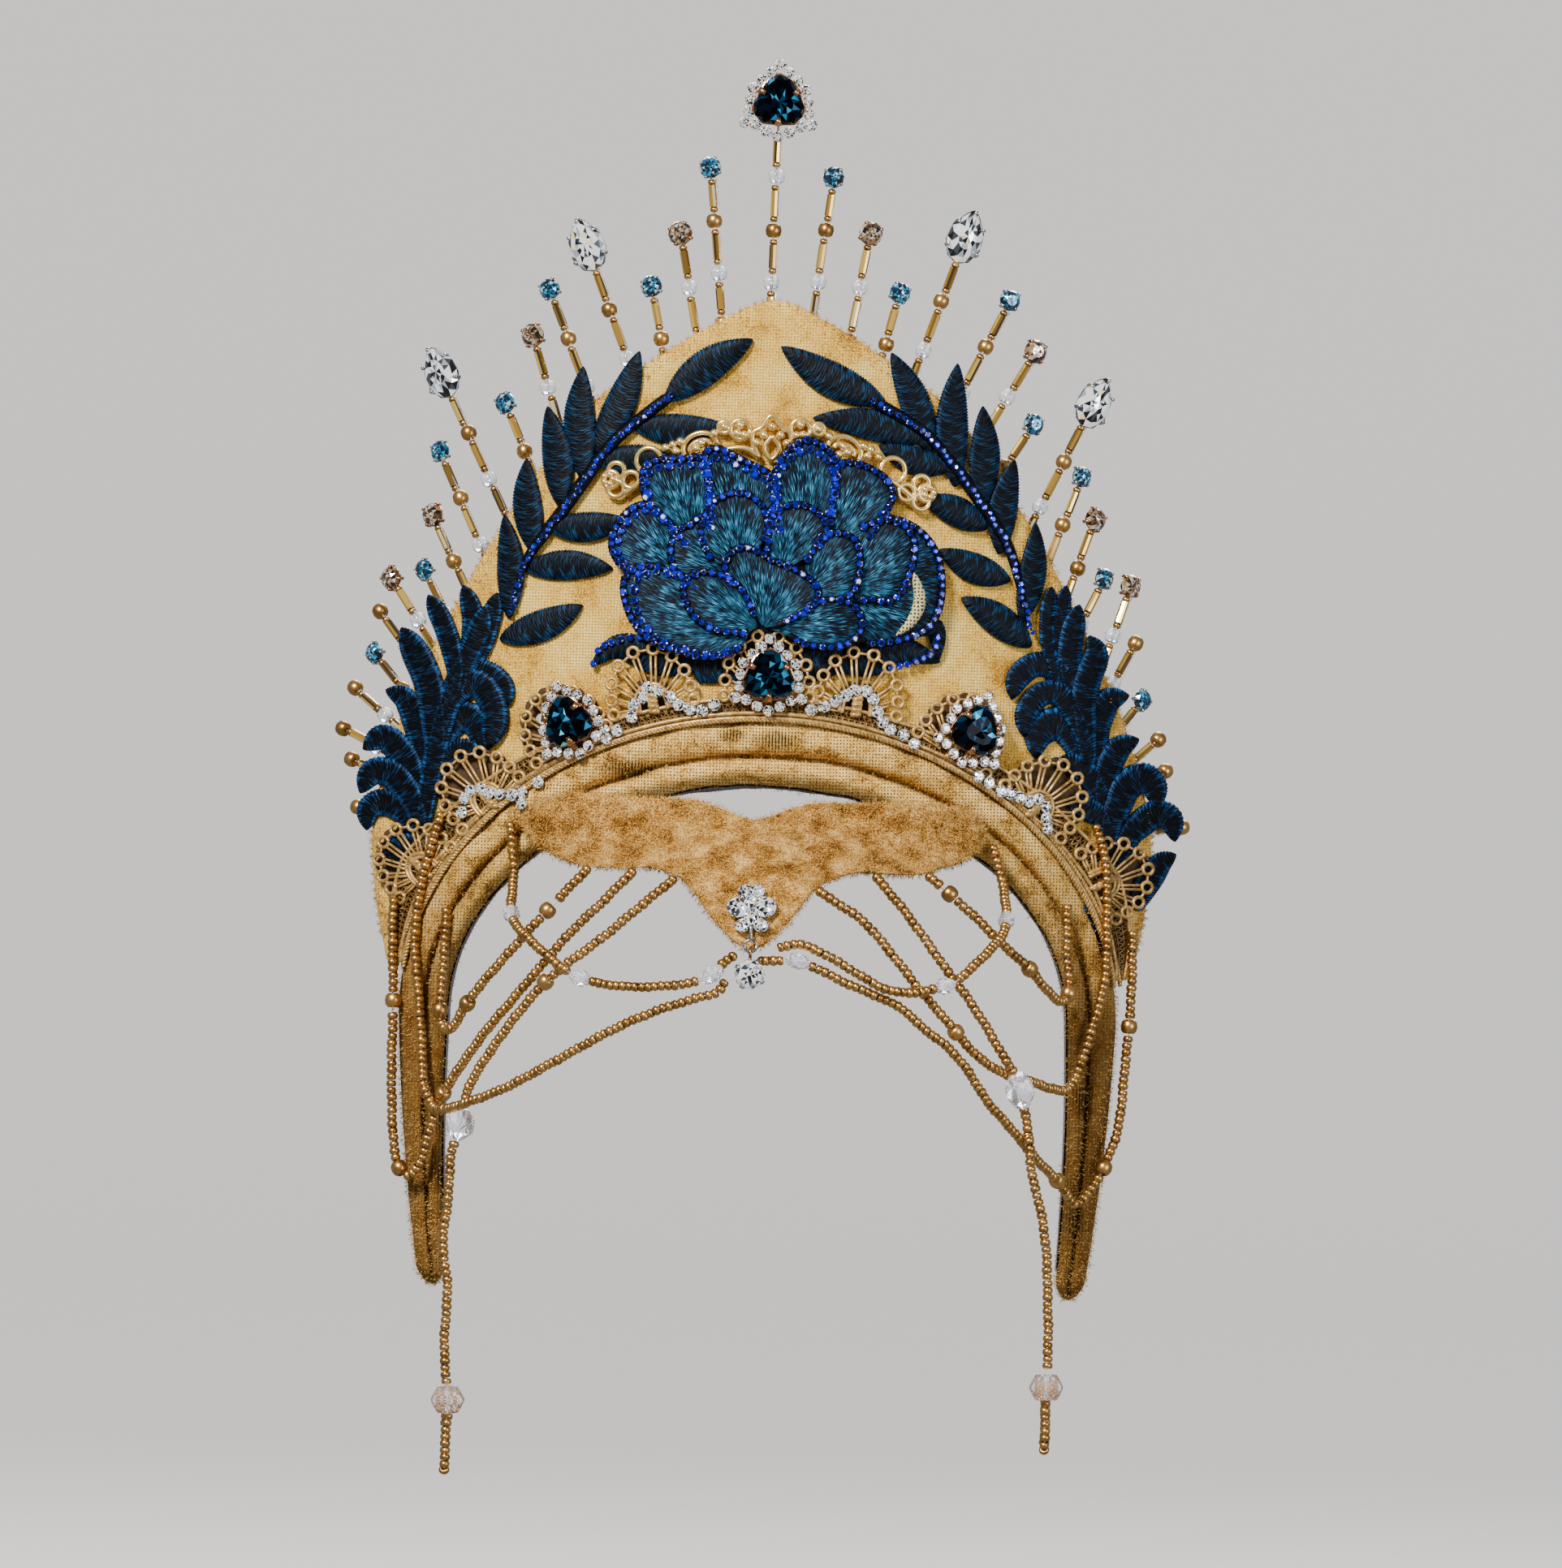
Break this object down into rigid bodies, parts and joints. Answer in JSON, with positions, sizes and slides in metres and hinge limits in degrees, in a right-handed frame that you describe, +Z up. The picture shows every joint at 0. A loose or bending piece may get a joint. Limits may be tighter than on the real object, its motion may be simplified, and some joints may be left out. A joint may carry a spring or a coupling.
{
  "type": "diadem",
  "caption": "Tall velvet kokoshnik diadem with embroidered flower and leaves, lace, bead-tipped spikes, a brow point and draped strings of beads.",
  "frame": {"origin": "top of the arch inside the head band, on the middle line, where the band rests on the head", "axes": "+Z up along the height, the front faces -Y, +X towards the right of a viewer in front of it"},
  "size_m": [0.2093, 0.0998, 0.3488],
  "materials": {
    "velvet": "crushed old-gold velvet over padding",
    "navy_thread": "satin-stitched navy and teal thread",
    "gold_lace": "metallic gold guipure lace",
    "gold_metal": "polished stamped gold-coloured metal",
    "gold_bead": "matte antique-gold beads",
    "blue_glass": "faceted dark blue glass",
    "topaz_glass": "faceted pale topaz glass",
    "clear_glass": "faceted clear glass"
  },
  "bodies": {
    "root": {"band_stone_centre": "blue_glass", "band_stone_left": "blue_glass", "band_stone_right": "blue_glass", "crown_panel": "velvet", "filigree_arc": "gold_metal", "forehead_peak": "velvet", "head_band": "velvet", "lace_trim": "gold_lace", "leaf_spray_left": "navy_thread", "leaf_spray_right": "navy_thread", "peak_cluster": "clear_glass", "peak_drop": "clear_glass", "peony": "navy_thread", "scroll_left": "navy_thread", "scroll_right": "navy_thread", "spike_centre": "blue_glass", "spike_left_01": "gold_bead", "spike_left_02": "gold_bead", "spike_left_03": "gold_bead", "spike_left_04": "blue_glass", "spike_left_05": "gold_bead", "spike_left_06": "topaz_glass", "spike_left_07": "blue_glass", "spike_left_08": "topaz_glass", "spike_left_09": "blue_glass", "spike_left_10": "clear_glass", "spike_left_11": "blue_glass", "spike_left_12": "topaz_glass", "spike_left_13": "blue_glass", "spike_left_14": "clear_glass", "spike_left_15": "blue_glass", "spike_left_16": "topaz_glass", "spike_left_17": "blue_glass", "spike_right_01": "gold_bead", "spike_right_02": "gold_bead", "spike_right_03": "blue_glass", "spike_right_04": "gold_bead", "spike_right_05": "topaz_glass", "spike_right_06": "blue_glass", "spike_right_07": "topaz_glass", "spike_right_08": "blue_glass", "spike_right_09": "clear_glass", "spike_right_10": "blue_glass", "spike_right_11": "topaz_glass", "spike_right_12": "blue_glass", "spike_right_13": "clear_glass", "spike_right_14": "blue_glass", "spike_right_15": "topaz_glass", "spike_right_16": "blue_glass", "strand_left_brow": "gold_bead", "strand_left_drop": "gold_bead", "strand_left_outer": "gold_bead", "strand_left_short": "gold_bead", "strand_left_swag": "gold_bead", "strand_right_brow": "gold_bead", "strand_right_drop": "gold_bead", "strand_right_outer": "gold_bead", "strand_right_short": "gold_bead", "strand_right_swag": "gold_bead"}
  },
  "joints": []
}
